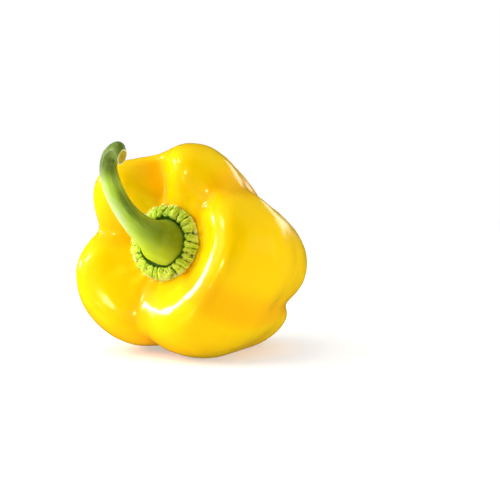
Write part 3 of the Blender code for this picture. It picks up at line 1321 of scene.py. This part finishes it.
@dataclass(frozen=True)
class SoftBox:
    """A rectangular lamp that faces the pepper.

    azimuth and elevation are in degrees, and azimuth runs from the front (-Y) towards +X,
    as the camera's does. The sizes are in metres.
    """

    name: str
    use: Lamp
    azimuth: float
    elevation: float
    distance: float
    width: float
    height: float
    watts: float

    def build(self, aim: Vector) -> bpy.types.Object:
        """Hangs the lamp, which either lights the pepper softly or draws a highlight on it.

        Args:
            aim: The point that it faces.

        Returns:
            The lamp.
        """
        light = bpy.data.lights.new(self.name, "AREA")
        light.shape = "RECTANGLE"
        light.size, light.size_y = self.width, self.height
        light.energy = self.watts
        lamp = bpy.data.objects.new(self.name, light)
        back = direction(self.azimuth, self.elevation)
        lamp.location = aim + back * self.distance
        lamp.rotation_euler = (-back).to_track_quat("-Z", "Y").to_euler()
        lamp.visible_glossy = self.use is Lamp.GLINT
        lamp.visible_diffuse = self.use is Lamp.FILL
        bpy.context.scene.collection.objects.link(lamp)
        return lamp


@dataclass
class Studio:
    """White floor, soft light and the camera, with sizes in metres.

    The floor's own glow is painted light, tinted against the pepper's yellow bounce. It changes
    with the distance from the pepper's middle: one colour where it stands, one round it and
    one further out. Spans say between which distances.
    """

    azimuth: float = 26.0
    elevation: float = 4.5
    distance: float = 0.45
    pixels_per_metre: float = 2350.0
    picture: float = 500.0
    sensor: float = 36.0
    clip: Span = (0.01, 50.0)
    seat_pixel: Span = (165.5, 243.0)
    aim_height: float = 0.045
    floor_radius: float = 0.9
    floor_sides: int = 96
    floor_colour: Colour = (0.93, 0.66, 0.46)
    floor_contact_glow: Colour = (0.22, 0.33, 0.40)
    floor_glow: Colour = (0.08, 0.38, 0.58)
    floor_edge_glow: Colour = (0.45, 0.70, 0.85)
    contact_span: Span = (0.02, 0.055)
    edge_span: Span = (0.12, 0.40)
    ambient: float = 0.96
    shaded_ambient: float = 0.11
    shaded_towards: Span = (52.0, -8.0)
    shaded_span: Span = (-0.1, 0.8)
    reflected: float = 0.03
    boxes: tuple[SoftBox, ...] = (
        SoftBox("key_box", Lamp.FILL, -52.0, 24.0, 0.30, 0.24, 0.18, 0.80),
        SoftBox("top_box", Lamp.FILL, -60.0, 66.0, 1.0, 0.9, 0.9, 4.1),
        SoftBox("back_box", Lamp.FILL, 112.0, 6.0, 0.9, 0.5, 0.3, 3.6),
        SoftBox("key_glint", Lamp.GLINT, -73.5, 16.0, 0.90, 0.20, 0.12, 3.3),
        SoftBox("lobe_glint", Lamp.GLINT, -26.0, -10.0, 1.00, 0.14, 0.13, 4.4),
        SoftBox("low_glint", Lamp.GLINT, -7.0, 6.5, 1.00, 0.13, 0.08, 2.0),
        SoftBox("left_glint", Lamp.GLINT, -44.0, 31.0, 0.90, 0.09, 0.15, 1.6),
        SoftBox("rim_glint", Lamp.GLINT, 174.0, 14.0, 0.9, 0.46, 0.24, 0.6),
    )

    def camera(self, seat: Vector) -> bpy.types.Object:
        """Sets the camera, which sees the calyx's seat at seat_pixel.

        It looks at a point moved off the seat, across and up, by the pixels between
        seat_pixel and the picture's middle.

        Args:
            seat: The middle of the seat.

        Returns:
            The camera.
        """
        back = direction(self.azimuth, self.elevation)
        turn = math.radians(self.azimuth)
        right = Vector((math.cos(turn), math.sin(turn), 0))
        up = back.cross(right)
        half = self.picture / 2
        aim = seat + right * ((half - self.seat_pixel[0]) / self.pixels_per_metre)
        aim = aim + up * ((self.seat_pixel[1] - half) / self.pixels_per_metre)
        data = bpy.data.cameras.new("camera")
        data.sensor_width = self.sensor
        data.lens = self.sensor * self.distance / (self.picture / self.pixels_per_metre)
        data.clip_start, data.clip_end = self.clip
        camera = bpy.data.objects.new("camera", data)
        camera.location = aim + back * self.distance
        camera.rotation_euler = (-back).to_track_quat("-Z", "Y").to_euler()
        bpy.context.scene.collection.objects.link(camera)
        bpy.context.scene.camera = camera
        return camera

    def floor(self) -> bpy.types.Object:
        """Lays the plain pale floor, whose own faint glow keeps it white out to its edge.

        Returns:
            The floor, a disc.
        """
        angle = np.arange(self.floor_sides) * TURN / self.floor_sides
        rim = np.stack([np.cos(angle), np.sin(angle), 0 * angle], axis=-1) * self.floor_radius
        mesh = bpy.data.meshes.new("floor")
        mesh.from_pydata(rim.tolist(), [], [list(range(self.floor_sides))])
        material, graph = new_material("floor_white")
        away = graph.vector_maths("LENGTH", {0: graph.position()}, "Value")
        # Painted light: the floor glows, graded outward from the pepper's middle.
        clear = graph.ramp(away, self.contact_span)
        glow = graph.blend(clear, self.floor_contact_glow, self.floor_glow)
        glow = graph.blend(graph.ramp(away, self.edge_span), glow, self.floor_edge_glow)
        shader = graph.node("ShaderNodeBsdfPrincipled", {
            "Base Color": self.floor_colour, "Roughness": 0.9, "Specular IOR Level": 0.0,
            "Emission Color": glow, "Emission Strength": 1.0,
        })
        graph.node("ShaderNodeOutputMaterial", {"Surface": shader.outputs["BSDF"]})
        mesh.materials.append(material)
        floor = bpy.data.objects.new("floor", mesh)
        bpy.context.scene.collection.objects.link(floor)
        floor.visible_glossy = False
        return floor

    def world(self) -> None:
        """Sets white surroundings: full white to the eye, softer as light, faint in gloss.

        As light they are dimmest in the direction shaded_towards.
        """
        world = bpy.data.worlds.new("white")
        world.use_nodes = True
        graph = Graph(world.node_tree)
        path = graph.node("ShaderNodeLightPath").outputs
        shaded = tuple(direction(*self.shaded_towards))
        outward = graph.node("ShaderNodeTexCoord").outputs["Generated"]
        near = graph.vector_maths("DOT_PRODUCT", {0: outward, 1: shaded}, "Value")
        light = graph.ramp(near, self.shaded_span, (self.ambient, self.shaded_ambient))
        seen = graph.maths("MAXIMUM", light, path["Is Camera Ray"])
        dim = graph.ramp(path["Is Glossy Ray"], (0.0, 1.0), (1.0, self.reflected))
        strength = graph.maths("MULTIPLY", seen, dim)
        sky = graph.node("ShaderNodeBackground", {"Color": (1.0, 1.0, 1.0), "Strength": strength})
        graph.node("ShaderNodeOutputWorld", {"Surface": sky.outputs["Background"]})
        bpy.context.scene.world = world

    def build(self, seat: Vector) -> None:
        """Sets the whole studio.

        Args:
            seat: The middle of the calyx's seat, which the camera is set by.
        """
        self.camera(seat)
        self.floor()
        self.world()
        for box in self.boxes:
            box.build(Vector((0.0, 0.0, self.aim_height)))
        bpy.context.scene.view_settings.view_transform = "Standard"


def write_sizes() -> None:
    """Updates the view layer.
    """
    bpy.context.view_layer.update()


def main() -> None:
    """Builds the pepper and its studio, and reports each piece."""
    logging.basicConfig(level=logging.INFO, format="%(message)s")
    shared = Shared(Mottle().build(), Pores().build())
    pepper = Pepper()
    for piece in pepper.build(shared):
        LOG.info("%s: %d faces", piece.name, len(piece.data.polygons))
    seat = Vector(pepper.move() + pepper.turned(np.zeros(3)))
    Studio().build(seat)
    write_sizes()


if __name__ == "__main__":
    main()
